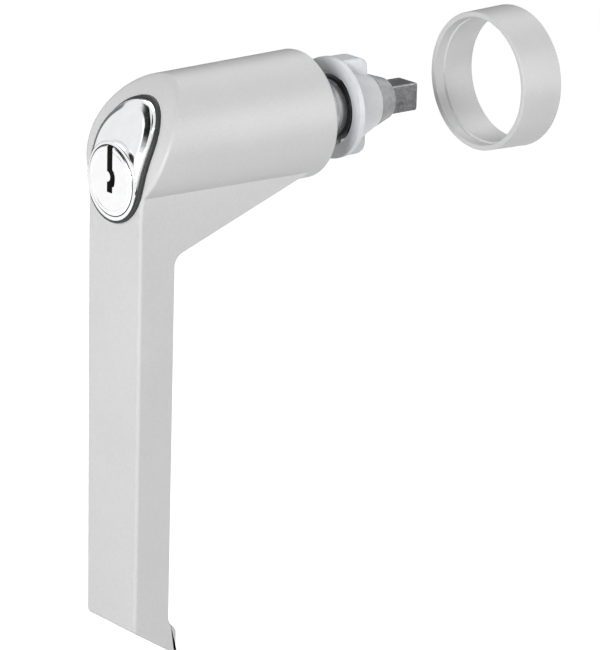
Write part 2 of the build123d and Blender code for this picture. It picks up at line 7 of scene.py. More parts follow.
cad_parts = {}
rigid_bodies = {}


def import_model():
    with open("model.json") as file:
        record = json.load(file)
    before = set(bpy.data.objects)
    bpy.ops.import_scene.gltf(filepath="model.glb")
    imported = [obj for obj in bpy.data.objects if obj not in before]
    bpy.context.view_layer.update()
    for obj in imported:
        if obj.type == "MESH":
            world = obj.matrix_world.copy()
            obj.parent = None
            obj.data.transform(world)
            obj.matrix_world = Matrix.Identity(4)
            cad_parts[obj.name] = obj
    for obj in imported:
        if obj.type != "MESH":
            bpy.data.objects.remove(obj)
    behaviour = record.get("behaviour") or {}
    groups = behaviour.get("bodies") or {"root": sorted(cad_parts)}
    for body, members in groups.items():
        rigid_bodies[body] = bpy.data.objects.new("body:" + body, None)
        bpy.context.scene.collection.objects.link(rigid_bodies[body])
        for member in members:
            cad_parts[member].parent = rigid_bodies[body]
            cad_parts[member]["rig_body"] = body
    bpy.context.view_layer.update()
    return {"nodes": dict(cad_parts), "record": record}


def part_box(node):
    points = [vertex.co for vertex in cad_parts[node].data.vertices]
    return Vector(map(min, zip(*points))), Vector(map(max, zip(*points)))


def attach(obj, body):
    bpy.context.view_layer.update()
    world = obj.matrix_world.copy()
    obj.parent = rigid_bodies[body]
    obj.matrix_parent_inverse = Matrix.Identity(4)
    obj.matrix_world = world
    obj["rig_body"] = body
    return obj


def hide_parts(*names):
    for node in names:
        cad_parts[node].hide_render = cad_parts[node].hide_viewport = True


# Keyed lever handle. The spindle runs along Y, the door is at y = 0 and the arm hangs down.
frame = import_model()
nodes = frame["nodes"]
mm = 0.001

# Camera: the photograph's view of the handle, with angles in degrees and lengths in metres
view_azimuth = 50.6
view_elevation = 17.3
view_roll = 1.4
view_distance = 1.1
view_aim = Vector((0.0006, -0.0102, -0.0619))
pixels_per_mm = 3.54
frame_height = 650
sensor_width = 36.0
nearest_seen = 0.01
farthest_seen = 50

# Lever casting. Here and below, sizes are in millimetres and slopes in degrees; a depth
# is counted from the door along the spindle, and a height from the spindle's axis.
hub_front = -75.4
hub_rear = -12.5
hub_front_radius = 17.3
hub_rear_radius = 18.1
hub_rear_edge = 0.8
head_edge = 1.0
lean_radius = 50.0
lean_start = -20.0
arm_rear = -63.7
arm_half_width = 11.8
arm_rear_edge = 1.8
foot_half_width = 11.25
arm_foot = -137.0
taper_start = -35.0
taper_end = -133.0
foot_slope = 33.0
foot_round = 2.0
toe_depth = -60.5
toe_height = 7.5
toe_tip_round = 0.25
toe_hollow = 3.0
rear_edge_top = -33.0
rear_edge_foot = -134.9
gusset_height = -30.5
gusset_depth = -17.5
gusset_round = 4.0
web_front = -49.45
web_rear = -43.85
bush_shoulder = -29.85
bush_seat_radius = 9.7
cavity_radius = 14.6
cap_seat = -15.5
cap_seat_radius = 15.4
finger_start = -49.95
finger_end = -39.45
finger_half_width = 2.15
finger_foot = -12.31
finger_top = -5.41
grub_depth = -59.4
grub_radius = 2.05
grub_start = -70.0
grub_end = -9.0

# Lock in the head
plug_height = -9.66
plug_radius = 9.6
plug_front = -77.0
plug_rear = -58.45
plug_edge = 0.3
groove_radius = 8.25
groove_half_width = 0.1
groove_depth = 0.14
boss_front = -76.6
boss_root = -60.0
boss_inset = 0.1
boss_edge = 0.35
bore_gap = 0.3
bore_end = -58.4
lock_rear = -55.4
lock_low_radius = 10.9
lock_top_radius = 11.2
lock_top_height = 0.2
lock_proud = 2.4
band_width = 2.0
band_rise = 0.8
pocket_gap = 0.05
chamber_ledge = 1.0
gasket_width = 0.8
gasket_thickness = 1.0
keyway_end = -63.5

# Spindle, its collar and the sleeve
bar_width = 8.0
bar_hole_width = 8.1
bar_rear = 28.5
stud_front = -52.35
stud_rear = -45.0
stud_radius = 2.5
core_start = 16.5
core_radius = 2.1
core_sink = 28.1
core_flare = 0.9
collar_front = 12.3
collar_rear = 18.5
collar_front_radius = 7.9
collar_rear_radius = 5.9
collar_pin_depth = 15.4
pin_hole_radius = 1.05
sleeve_front = -43.55
sleeve_rear = 4.0
sleeve_radius = 8.5
sleeve_bore = 6.0
sleeve_pin_depth = 2.55
notch_width = 4.6
notch_start = -45.0
notch_end = -39.75

# Door flange
disc_front = -1.5
disc_radius = 14.4
recess_radius = 10.6
recess_floor = 1.1
cone_root = 12.6
cone_end = 12.0
cone_end_radius = 8.0
sleeve_seat = 4.05
sleeve_seat_radius = 8.55
bar_bore = 6.05
lug_front = -0.6
lug_end = 9.5
lug_half_width = 4.0
lug_root = 7.4
lug_top = 13.8
lug_round = 3.0

# Rear end of the hub
cap_front = -15.45
cap_radius = 15.35
cap_bore = 9.7
screw_circle = 12.8
screw_angles = (90, 210, 330)
hex_radius = 1.1
hex_floor = -13.8
hex_mouth = -10.8
washer_bore = 8.55
clip_bore = 7.95
clip_sweep = 348

# Margins: a depth in front of everything, past what is cut, near a face, on a face, and
# the part behind the hub's front that counts as the front of a piece
in_front = -90.0
clear = 1.0
near = 0.1
touch = 0.01
front_reach = 1.5

# Heights at which the leaning faces are divided, with the steps between them
arm_steps = 4
arm_step = (plug_height - lean_start) / arm_steps
head_step, head_steps = 1.1, 24
lock_step, lock_steps = 0.8, 40
arm_levels = [lean_start + arm_step * n for n in range(1, arm_steps + 1)]
head_levels = arm_levels + [plug_height + head_step * n for n in range(1, head_steps + 1)]
lock_levels = [lean_start + lock_step * n for n in range(lock_steps)]


def view_axes(azimuth, elevation, roll):
    """Right, up and backward directions of a camera at that angle round the handle."""
    a, e, r = radians(azimuth), radians(elevation), radians(roll)
    right = Vector((cos(a), sin(a), 0))
    up = Vector((-sin(a) * sin(e), cos(a) * sin(e), cos(e)))
    back = Vector((sin(a) * cos(e), -cos(a) * cos(e), sin(e)))
    return right * cos(r) + up * sin(r), up * cos(r) - right * sin(r), back


def add_camera():
    """Camera with the photograph's view."""
    camera = bpy.data.objects.new("camera", bpy.data.cameras.new("camera"))
    bpy.context.scene.collection.objects.link(camera)
    right, up, back = view_axes(view_azimuth, view_elevation, view_roll)
    turn = Matrix((right, up, back)).transposed()
    camera.matrix_world = Matrix.Translation(view_aim + back * view_distance) @ turn.to_4x4()
    camera.data.sensor_width = sensor_width
    camera.data.lens = sensor_width * pixels_per_mm * view_distance / mm / frame_height
    camera.data.clip_start = nearest_seen
    camera.data.clip_end = farthest_seen
    bpy.context.scene.camera = camera


def softbox(name, aim, azimuth, elevation, distance, width, height, power):
    """Flat lamp that shines at the aim from that side."""
    lamp_data = bpy.data.lights.new(name, "AREA")
    lamp_data.shape = "RECTANGLE"
    lamp_data.size = width
    lamp_data.size_y = height
    lamp_data.energy = power
    lamp = bpy.data.objects.new(name, lamp_data)
    bpy.context.scene.collection.objects.link(lamp)
    right, up, back = view_axes(azimuth, elevation, 0)
    turn = Matrix((right, up, back)).transposed()
    lamp.matrix_world = Matrix.Translation(aim + back * distance) @ turn.to_4x4()
    lamp.visible_camera = False


def matt_board(piece, name, grey):
    """Gives a stage piece a matt grey without highlights; returns its node tree and shader."""
    material = bpy.data.materials.new(name)
    material.use_nodes = True
    tree = material.node_tree
    shader = tree.nodes["Principled BSDF"]
    shader.inputs["Base Color"].default_value = (grey, grey, grey, 1)
    shader.inputs["Roughness"].default_value = 1.0
    shader.inputs["Specular IOR Level"].default_value = 0.0
    shader.inputs["Emission Color"].default_value = (1, 1, 1, 1)
    piece.data.materials.append(material)
    return tree, shader


def dark_card(name, aim, azimuth, elevation, distance, width, height, tone=0.0, fade=0.01):
    """Dark board seen only in glossy pieces, turned towards the aim.

    The tone is its brightness there, and the fade the share of its height, from the lower
    edge, over which it goes from white to that tone.
    """
    bpy.ops.mesh.primitive_plane_add(size=1)
    card = bpy.context.object
    card.name = name
    right, up, back = view_axes(azimuth, elevation, 0)
    turn = Matrix((right * width, up * height, back)).transposed()
    card.matrix_world = Matrix.Translation(aim + back * distance) @ turn.to_4x4()
    tree, shader = matt_board(card, name, grey=0.02)
    place = tree.nodes.new("ShaderNodeTexCoord")
    axes = tree.nodes.new("ShaderNodeSeparateXYZ")
    glow = tree.nodes.new("ShaderNodeMapRange")
    lower_edge = -0.5
    glow.inputs["From Min"].default_value = lower_edge
    glow.inputs["From Max"].default_value = lower_edge + fade
    glow.inputs["To Min"].default_value = 1.0
    glow.inputs["To Max"].default_value = tone
    tree.links.new(place.outputs["Object"], axes.inputs["Vector"])
    tree.links.new(axes.outputs["Y"], glow.inputs["Value"])
    tree.links.new(glow.outputs["Result"], shader.inputs["Emission Strength"])
    card.visible_camera = False
    card.visible_diffuse = False
    card.visible_shadow = False


def background_ray(tree):
    """Value that is 1 for rays that show the background: camera, glossy and transmission rays."""
    path = tree.nodes.new("ShaderNodeLightPath")
    total = path.outputs["Is Camera Ray"]
    for name in ("Is Glossy Ray", "Is Transmission Ray"):
        larger = tree.nodes.new("ShaderNodeMath")
        larger.operation = "MAXIMUM"
        tree.links.new(total, larger.inputs[0])
        tree.links.new(path.outputs[name], larger.inputs[1])
        total = larger.outputs[0]
    return total


def add_world(ambient):
    """White where it is seen or reflected, and a plain level of light on the handle."""
    world = bpy.data.worlds.new("studio")
    world.use_nodes = True
    tree = world.node_tree
    shade = tree.nodes["Background"]
    shade.inputs["Color"].default_value = (1, 1, 1, 1)
    level = tree.nodes.new("ShaderNodeMapRange")
    level.inputs["To Min"].default_value = ambient
    level.inputs["To Max"].default_value = 1.0
    tree.links.new(background_ray(tree), level.inputs["Value"])
    tree.links.new(level.outputs["Result"], shade.inputs["Strength"])
    bpy.context.scene.world = world


def add_floor(height, reach, grey, glow):
    """Pale floor that keeps the handle's shadow."""
    bpy.ops.mesh.primitive_plane_add(size=reach, location=(0, 0, height))
    floor = bpy.context.object
    floor.name = "floor"
    tree, shader = matt_board(floor, "pale_floor", grey)
    level = tree.nodes.new("ShaderNodeMath")
    level.operation = "MULTIPLY"
    level.inputs[1].default_value = glow
    tree.links.new(background_ray(tree), level.inputs[0])
    tree.links.new(level.outputs[0], shader.inputs["Emission Strength"])


def new_group(name, numbers, outputs):
    """Empty node group with a Vector input, named number inputs and named outputs."""
    group = bpy.data.node_groups.new(name, "ShaderNodeTree")
    group.interface.new_socket("Vector", in_out="INPUT", socket_type="NodeSocketVector")
    for label, value in numbers.items():
        socket = group.interface.new_socket(label, in_out="INPUT", socket_type="NodeSocketFloat")
        socket.default_value = value
    for label in outputs:
        group.interface.new_socket(label, in_out="OUTPUT", socket_type="NodeSocketFloat")
    return group, group.nodes.new("NodeGroupInput"), group.nodes.new("NodeGroupOutput")


def make_coat_grain():
    """Fine speckle and orange peel of a sprayed or moulded surface."""
    cloud_scale = 60
    cloud_share = 0.35
    group, given, result = new_group("coat_grain", {"Speckle Scale": 900, "Peel Scale": 500},
                                     ("Tone", "Height"))
    speckle = group.nodes.new("ShaderNodeTexNoise")
    speckle.inputs["Detail"].default_value = 3
    peel = group.nodes.new("ShaderNodeTexVoronoi")
    peel.feature = "SMOOTH_F1"
    cloud = group.nodes.new("ShaderNodeTexNoise")
    cloud.inputs["Scale"].default_value = cloud_scale
    link = group.links.new
    for texture in (speckle, peel, cloud):
        link(given.outputs["Vector"], texture.inputs["Vector"])
    link(given.outputs["Speckle Scale"], speckle.inputs["Scale"])
    link(given.outputs["Peel Scale"], peel.inputs["Scale"])
    blend = group.nodes.new("ShaderNodeMix")
    blend.inputs["Factor"].default_value = cloud_share
    link(speckle.outputs["Fac"], blend.inputs["A"])
    link(cloud.outputs["Fac"], blend.inputs["B"])
    link(blend.outputs["Result"], result.inputs["Tone"])
    add = group.nodes.new("ShaderNodeMath")
    add.operation = "ADD"
    link(peel.outputs["Distance"], add.inputs[0])
    link(speckle.outputs["Fac"], add.inputs[1])
    link(add.outputs[0], result.inputs["Height"])
    return group


def make_tool_marks():
    """Streaks of a drawn or turned metal: a noise stretched along one way of its vector."""
    group, given, result = new_group("tool_marks", {"Fine Scale": 1.0, "Coarse Scale": 0.2},
                                     ("Tone", "Height"))
    link = group.links.new
    blend = group.nodes.new("ShaderNodeMix")
    for socket, scale in (("A", "Fine Scale"), ("B", "Coarse Scale")):
        streak = group.nodes.new("ShaderNodeTexNoise")
        streak.inputs["Detail"].default_value = 2
        link(given.outputs["Vector"], streak.inputs["Vector"])
        link(given.outputs[scale], streak.inputs["Scale"])
        link(streak.outputs["Fac"], blend.inputs[socket])
    link(blend.outputs["Result"], result.inputs["Tone"])
    link(blend.outputs["Result"], result.inputs["Height"])
    return group


coat_grain = make_coat_grain()
tool_marks = make_tool_marks()


class Finish:
    """One material: its shader, its texture group and the links between them."""

    def __init__(self, name, group, numbers, stretch=(1, 1, 1)):
        self.material = bpy.data.materials.new(name)
        self.material.use_nodes = True
        self.tree = self.material.node_tree
        self.shader = self.tree.nodes["Principled BSDF"]
        place = self.tree.nodes.new("ShaderNodeTexCoord")
        mapping = self.tree.nodes.new("ShaderNodeMapping")
        mapping.vector_type = "TEXTURE"
        mapping.inputs["Scale"].default_value = stretch
        self.tree.links.new(place.outputs["Object"], mapping.inputs["Vector"])
        self.texture = self.tree.nodes.new("ShaderNodeGroup")
        self.texture.node_tree = group
        self.tree.links.new(mapping.outputs["Vector"], self.texture.inputs["Vector"])
        for label, value in numbers.items():
            self.texture.inputs[label].default_value = value

    def set(self, **values):
        """Gives inputs of the shader plain values, by their names."""
        for label, value in values.items():
            self.shader.inputs[label.replace("_", " ").title()].default_value = value

    def colour(self, dark, light):
        """Mixes two colours by the texture's tone, over the middle of its range."""
        ramp = self.tree.nodes.new("ShaderNodeValToRGB")
        ramp.color_ramp.elements[0].position = 0.3
        ramp.color_ramp.elements[0].color = (*dark, 1)
        ramp.color_ramp.elements[1].position = 0.7
        ramp.color_ramp.elements[1].color = (*light, 1)
        self.tree.links.new(self.texture.outputs["Tone"], ramp.inputs["Fac"])
        self.tree.links.new(ramp.outputs["Color"], self.shader.inputs["Base Color"])

    def gloss(self, smooth, rough):
        """Spreads the roughness between two values by the texture's tone."""
        spread = self.tree.nodes.new("ShaderNodeMapRange")
        spread.inputs["To Min"].default_value = smooth
        spread.inputs["To Max"].default_value = rough
        self.tree.links.new(self.texture.outputs["Tone"], spread.inputs["Value"])
        self.tree.links.new(spread.outputs["Result"], self.shader.inputs["Roughness"])

    def relief(self, strength, depth):
        """Raises the texture's height, with the depth in millimetres."""
        bump = self.tree.nodes.new("ShaderNodeBump")
        bump.inputs["Strength"].default_value = strength
        bump.inputs["Distance"].default_value = depth * mm
        self.tree.links.new(self.texture.outputs["Height"], bump.inputs["Height"])
        self.tree.links.new(bump.outputs["Normal"], self.shader.inputs["Normal"])


def powder_coat():
    coat = Finish("powder_coat", coat_grain, {"Speckle Scale": 1400, "Peel Scale": 700})
    coat.colour(dark=(0.60, 0.605, 0.60), light=(0.655, 0.66, 0.655))
    coat.gloss(smooth=0.38, rough=0.46)
    coat.relief(strength=0.12, depth=0.02)
    return coat.material


def bright_chrome():
    chrome = Finish("bright_chrome", coat_grain, {"Speckle Scale": 300, "Peel Scale": 120})
    chrome.set(metallic=1.0)
    chrome.colour(dark=(0.80, 0.81, 0.82), light=(0.86, 0.865, 0.87))
    chrome.gloss(smooth=0.09, rough=0.14)
    chrome.relief(strength=0.03, depth=0.02)
    return chrome.material


def plug_nickel():
    nickel = Finish("plug_nickel", coat_grain, {"Speckle Scale": 800, "Peel Scale": 300})
    nickel.set(metallic=1.0)
    nickel.colour(dark=(0.84, 0.84, 0.85), light=(0.93, 0.93, 0.94))
    nickel.gloss(smooth=0.16, rough=0.24)
    nickel.relief(strength=0.05, depth=0.02)
    return nickel.material


def black_rubber():
    rubber = Finish("black_rubber", coat_grain, {"Speckle Scale": 1800, "Peel Scale": 900})
    rubber.colour(dark=(0.012, 0.012, 0.013), light=(0.03, 0.03, 0.032))
    rubber.gloss(smooth=0.45, rough=0.6)
    rubber.relief(strength=0.2, depth=0.02)
    return rubber.material


def white_nylon():
    nylon = Finish("white_nylon", coat_grain, {"Speckle Scale": 700, "Peel Scale": 260})
    nylon.colour(dark=(0.70, 0.72, 0.74), light=(0.78, 0.795, 0.81))
    nylon.set(subsurface_weight=0.25, subsurface_radius=(1, 1, 1), subsurface_scale=0.8 * mm)
    nylon.gloss(smooth=0.34, rough=0.44)
    nylon.relief(strength=0.06, depth=0.03)
    return nylon.material


def zinc_casting():
    zinc = Finish("zinc_casting", coat_grain, {"Speckle Scale": 900, "Peel Scale": 420})
    zinc.set(metallic=0.85)
    zinc.colour(dark=(0.24, 0.245, 0.25), light=(0.37, 0.375, 0.38))
    zinc.gloss(smooth=0.42, rough=0.56)
    zinc.relief(strength=0.25, depth=0.03)
    return zinc.material


# Near-black finish for the walls of the keyway: painted shade that makes the slot look dark inside
def painted_keyway_shade():
    shade = Finish("keyway_shade", coat_grain, {"Speckle Scale": 900, "Peel Scale": 400})
    shade.colour(dark=(0.004, 0.004, 0.004), light=(0.012, 0.012, 0.012))
    shade.gloss(smooth=0.5, rough=0.7)
    return shade.material


def drawn_metal(name, dark, light, smooth, rough, stretch, strength=0.15):
    """Drawn, turned or stamped metal, with its streaks along the stretched way."""
    metal = Finish(name, tool_marks, {"Fine Scale": 1600, "Coarse Scale": 260}, stretch=stretch)
    metal.set(metallic=1.0)
    metal.colour(dark, light)
    metal.gloss(smooth, rough)
    metal.relief(strength, depth=0.02)
    return metal.material


materials = {
    "powder_coat": powder_coat(),
    "bright_chrome": bright_chrome(),
    "plug_nickel": plug_nickel(),
    "black_rubber": black_rubber(),
    "white_nylon": white_nylon(),
    "zinc_casting": zinc_casting(),
    "drawn_steel": drawn_metal("drawn_steel", dark=(0.13, 0.13, 0.135), light=(0.31, 0.31, 0.32),
                               smooth=0.28, rough=0.45, stretch=(1, 1.5, 1), strength=0.3),
    "bright_steel": drawn_metal("bright_steel", dark=(0.60, 0.60, 0.61), light=(0.78, 0.78, 0.79),
                                smooth=0.18, rough=0.30, stretch=(6, 1, 6)),
    "spring_steel": drawn_metal("spring_steel", dark=(0.06, 0.06, 0.065),
                                light=(0.12, 0.12, 0.125),
                                smooth=0.3, rough=0.45, stretch=(1, 4, 1)),
    "dark_steel": drawn_metal("dark_steel", dark=(0.13, 0.13, 0.14), light=(0.22, 0.22, 0.23),
                              smooth=0.3, rough=0.45, stretch=(1, 3, 1)),
    "wafer_brass": drawn_metal("wafer_brass", dark=(0.62, 0.46, 0.20), light=(0.78, 0.61, 0.30),
                               smooth=0.25, rough=0.4, stretch=(1, 1, 5)),
}
keyway_shade = painted_keyway_shade()
slot_of = {row["node"]: row["material_slot"] for row in frame["record"]["subparts"]}


def dress(node):
    """Gives a CAD node the material of its slot."""
    shown = nodes[node]
    shown.data.materials.clear()
    shown.data.materials.append(materials[slot_of[node]])


def finish_piece(piece, node):
    """Material, body and slot of a piece that stands for a node."""
    if not any(piece.data.materials):
        piece.data.materials.clear()
        piece.data.materials.append(materials[slot_of[node]])
    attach(piece, nodes[node]["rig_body"])
    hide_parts(node)


def spot(x, depth, height):
    """Place given in millimetres: across, along the spindle's axis, and up."""
    return Vector((x, depth, height)) * mm


def rectangle(left, foot, right, top):
    """Corners of an upright rectangle, as pairs of across and height."""
    return [(left, foot), (right, foot), (right, top), (left, top)]


def arc(centre, radius, start, end, count):
    """Points along an arc, as pairs, with the angles counted from the first axis."""
    u, v = centre
    angles = [radians(start + (end - start) * n / count) for n in range(count + 1)]
    return [(u + radius * cos(angle), v + radius * sin(angle)) for angle in angles]


def tidy_normals(gap=0.002):
    """Merges doubles and turns every face outwards, in edit mode."""
    bpy.ops.mesh.select_all(action="SELECT")
    bpy.ops.mesh.remove_doubles(threshold=gap * mm)
    bpy.ops.mesh.normals_make_consistent(inside=False)


def draw(name, corners):
    """Line drawn from corner to corner as a new piece, left in edit mode."""
    bpy.ops.object.select_all(action="DESELECT")
    bpy.ops.mesh.primitive_plane_add(size=mm)
    piece = bpy.context.object
    piece.name = piece.data.name = name
    bpy.ops.object.mode_set(mode="EDIT")
    bpy.ops.mesh.select_mode(type="VERT")
    bpy.ops.mesh.merge(type="CENTER")
    bpy.ops.transform.translate(value=corners[0])
    for here, there in zip(corners, corners[1:]):
        bpy.ops.mesh.extrude_vertices_move(TRANSFORM_OT_translate={"value": there - here})
    bpy.ops.mesh.select_all(action="SELECT")
    return piece


def prism(name, corners, reach):
    """Outline filled and drawn out by a vector."""
    piece = draw(name, corners)
    bpy.ops.mesh.edge_face_add()
    bpy.ops.mesh.extrude_region_move(TRANSFORM_OT_translate={"value": reach})
    tidy_normals()
    bpy.ops.object.mode_set(mode="OBJECT")
    return piece


def block(name, outline, start, end):
    """Outline of pairs of across and height, drawn out along the spindle between two depths."""
    return prism(name, [spot(x, start, h) for x, h in outline], spot(0, end - start, 0))


def square_bar(name, width, start, end):
    """Plain square bar along the spindle's axis."""
    half = width / 2
    return block(name, rectangle(-half, -half, half, half), start, end)


def round_bar(name, radius, start, end):
    """Plain cylinder from one place to another."""
    way = end - start
    bpy.ops.object.select_all(action="DESELECT")
    bpy.ops.mesh.primitive_cylinder_add(vertices=32, radius=radius * mm, depth=way.length,
                                        location=(start + end) / 2,
                                        rotation=way.to_track_quat("Z", "Y").to_euler())
    piece = bpy.context.object
    piece.name = piece.data.name = name
    bpy.ops.object.transform_apply(location=True, rotation=True, scale=True)
    return piece


def turned(name, section, centre=(0, 0), steps=96, sweep=360, start=0):
    """Piece turned about an axis along the spindle, from corners of depth and radius."""
    x, height = centre
    a = radians(start)
    piece = draw(name, [spot(x + r * sin(a), depth, height + r * cos(a)) for depth, r in section])
    if sweep < 360:
        bpy.ops.mesh.remove_doubles()
        bpy.ops.mesh.edge_face_add()
    bpy.ops.mesh.spin(steps=steps, angle=radians(sweep), center=spot(x, 0, height), axis=(0, 1, 0))
    tidy_normals()
    bpy.ops.object.mode_set(mode="OBJECT")
    return piece


def ring_section(front, rear, outer, bore):
    """Closed section of a plain ring."""
    return [(front, bore), (rear, bore), (rear, outer), (front, outer), (front, bore)]


def select_vertices(piece, wanted):
    """Selects the vertices for which wanted(x, depth, height) holds and enters edit mode."""
    bpy.context.view_layer.objects.active = piece
    bpy.ops.object.mode_set(mode="EDIT")
    bpy.ops.mesh.select_mode(type="VERT")
    bpy.ops.mesh.select_all(action="DESELECT")
    bpy.ops.object.mode_set(mode="OBJECT")
    for vertex in piece.data.vertices:
        vertex.select = wanted(*(vertex.co / mm))
    bpy.ops.object.mode_set(mode="EDIT")


def select_faces(piece, wanted):
    """Selects the faces whose centre passes wanted(x, depth, height) and enters edit mode."""
    bpy.context.view_layer.objects.active = piece
    bpy.ops.object.mode_set(mode="EDIT")
    bpy.ops.mesh.select_mode(type="FACE")
    bpy.ops.mesh.select_all(action="DESELECT")
    bpy.ops.object.mode_set(mode="OBJECT")
    for face in piece.data.polygons:
        face.select = wanted(*(face.center / mm))
    bpy.ops.object.mode_set(mode="EDIT")


def select_all_vertices(piece):
    """Selects every vertex of a piece and enters edit mode."""
    select_vertices(piece, lambda x, depth, height: True)


def copy_mesh(piece, moves):
    """Adds copies inside a piece's mesh, each moved on from the one before."""
    select_all_vertices(piece)
    for move in moves:
        bpy.ops.mesh.duplicate()
        bpy.ops.transform.translate(value=move)
    bpy.ops.object.mode_set(mode="OBJECT")


def bevel_edges(piece, wanted, width, segments):
    """Bevels the edges whose ends and middle pass wanted(x, depth, height)."""
    bpy.context.view_layer.objects.active = piece
    bpy.ops.object.mode_set(mode="EDIT")
    bpy.ops.mesh.select_mode(type="EDGE")
    bpy.ops.mesh.select_all(action="DESELECT")
    bpy.ops.object.mode_set(mode="OBJECT")
    points = piece.data.vertices
    for edge in piece.data.edges:
        one, two = (points[n].co / mm for n in edge.vertices)
        edge.select = all(wanted(*place) for place in (one, (one + two) / 2, two))
    bpy.ops.object.mode_set(mode="EDIT")
    bpy.ops.mesh.bevel(offset=width * mm, offset_type="OFFSET", segments=segments, profile=0.5,
                       affect="EDGES", clamp_overlap=False)
    bpy.ops.object.mode_set(mode="OBJECT")


def slice_front(piece, levels, reach=front_reach):
    """Cuts the front part of a piece at the given heights."""
    for level in levels:
        select_vertices(piece, lambda x, depth, height: depth < hub_front + reach)
        bpy.ops.mesh.bisect(plane_co=spot(0, 0, level), plane_no=(0, 0, 1))
        bpy.ops.object.mode_set(mode="OBJECT")


def lean(height):
    """How far the head's face lies behind its flat lower part at a height."""
    rise = max(height - lean_start, 0)
    return lean_radius - sqrt(lean_radius**2 - rise**2)


def lean_back(piece, shift, reach=front_reach):
    """Moves the front vertices of a piece back along the lean, level by level."""
    same_level = 0.0006
    front = {round(v.co.z / mm, 3) for v in piece.data.vertices if v.co.y / mm < hub_front + reach}
    for level in sorted(front):
        select_vertices(piece, lambda x, depth, height: depth < hub_front + reach
                        and abs(height - level) < same_level)
        bpy.ops.transform.translate(value=spot(0, lean(level) + shift, 0))
        bpy.ops.object.mode_set(mode="OBJECT")


def combine(piece, other, operation):
    """Boolean of two pieces; the other one is used up."""
    bpy.context.view_layer.objects.active = piece
    cut = piece.modifiers.new("combine", "BOOLEAN")
    cut.operation = operation
    cut.solver = "EXACT"
    cut.material_mode = "TRANSFER"
    cut.object = other
    bpy.ops.object.modifier_apply(modifier="combine")
    bpy.data.objects.remove(other)
    bpy.ops.object.mode_set(mode="EDIT")
    tidy_normals()
    bpy.ops.object.mode_set(mode="OBJECT")


def smooth(piece, crease=35):
    """Smooth shading that keeps edges sharper than the crease angle, led by the large faces."""
    bpy.ops.object.select_all(action="DESELECT")
    bpy.context.view_layer.objects.active = piece
    piece.select_set(True)
    bpy.ops.object.shade_smooth_by_angle(angle=radians(crease))
    weigh = piece.modifiers.new("weigh", "WEIGHTED_NORMAL")
    weigh.keep_sharp = True
    bpy.ops.object.modifier_apply(modifier="weigh")


def soften(piece, width, segments=3, crease=35):
    """Rounds every edge sharper than the crease angle."""
    bpy.context.view_layer.objects.active = piece
    rounding = piece.modifiers.new("rounding", "BEVEL")
    rounding.width = width * mm
    rounding.segments = segments
    rounding.limit_method = "ANGLE"
    rounding.angle_limit = radians(crease)
    bpy.ops.object.modifier_apply(modifier="rounding")


def rounded(before, corner, after, radius, count):
    """Points that round a corner of an outline."""
    corner = Vector(corner)
    one = (Vector(before) - corner).normalized()
    two = (Vector(after) - corner).normalized()
    half = one.angle(two) / 2
    middle = corner + (one + two).normalized() * radius / sin(half)
    start = corner + one * radius / tan(half) - middle
    end = corner + two * radius / tan(half) - middle
    sweep = start.angle_signed(end)
    turns = [Matrix.Rotation(-sweep * n / count, 2) for n in range(count + 1)]
    return [tuple(middle + turn @ start) for turn in turns]


def arm_outline():
    """Side outline of arm and gusset, as pairs of depth and height."""
    foot = (hub_front, arm_foot)
    toe_low = (toe_depth, arm_foot - tan(radians(foot_slope)) * (toe_depth - hub_front))
    toe_high = (toe_depth, toe_low[1] + toe_height)
    toe_end = (arm_rear, toe_high[1] + toe_depth - arm_rear)
    knee = (arm_rear, gusset_height)
    gusset_end = (gusset_depth, -sqrt(hub_rear_radius**2 - arm_half_width**2))
    side = [(hub_front, height) for height in arm_levels[::-1]] + [(hub_front, lean_start)]
    side += rounded((hub_front, 0), foot, toe_low, foot_round, 5)
    side += rounded(foot, toe_low, toe_high, toe_tip_round, 2)
    side += rounded(toe_low, toe_high, toe_end, foot_round, 5)
    side += rounded(toe_high, toe_end, (arm_rear, 0), toe_hollow, 5)
    side += rounded((arm_rear, arm_foot), knee, gusset_end, gusset_round, 8)
    side += [gusset_end, (gusset_depth, plug_height)]
    return side


def pear(grow=0.0, count=24):
    """Front outline of the lock, as pairs of across and height: a low circle and a top one."""
    low, top = lock_low_radius + grow, lock_top_radius + grow
    tilt = degrees(asin((top - low) / (lock_top_height - plug_height)))
    return (arc((0, lock_top_height), top, -tilt, 180 + tilt, count)
            + arc((0, plug_height), low, 180 + tilt, 360 - tilt, count))


def make_barrel():
    """Barrel of the hub with its rounded rims and the leaning head."""
    barrel = turned("painted_lever", [(hub_front, 0), (hub_front, hub_front_radius),
                                      (hub_rear, hub_rear_radius), (hub_rear, 0)], steps=144)
    rim = hub_front_radius**2 - 1
    bevel_edges(barrel, lambda x, depth, height: depth > hub_rear - near
                and x * x + height * height > rim, hub_rear_edge, 3)
    bevel_edges(barrel, lambda x, depth, height: depth < hub_front + near
                and x * x + height * height > rim, head_edge, 4)
    slice_front(barrel, head_levels)
    lean_back(barrel, 0)
    return barrel


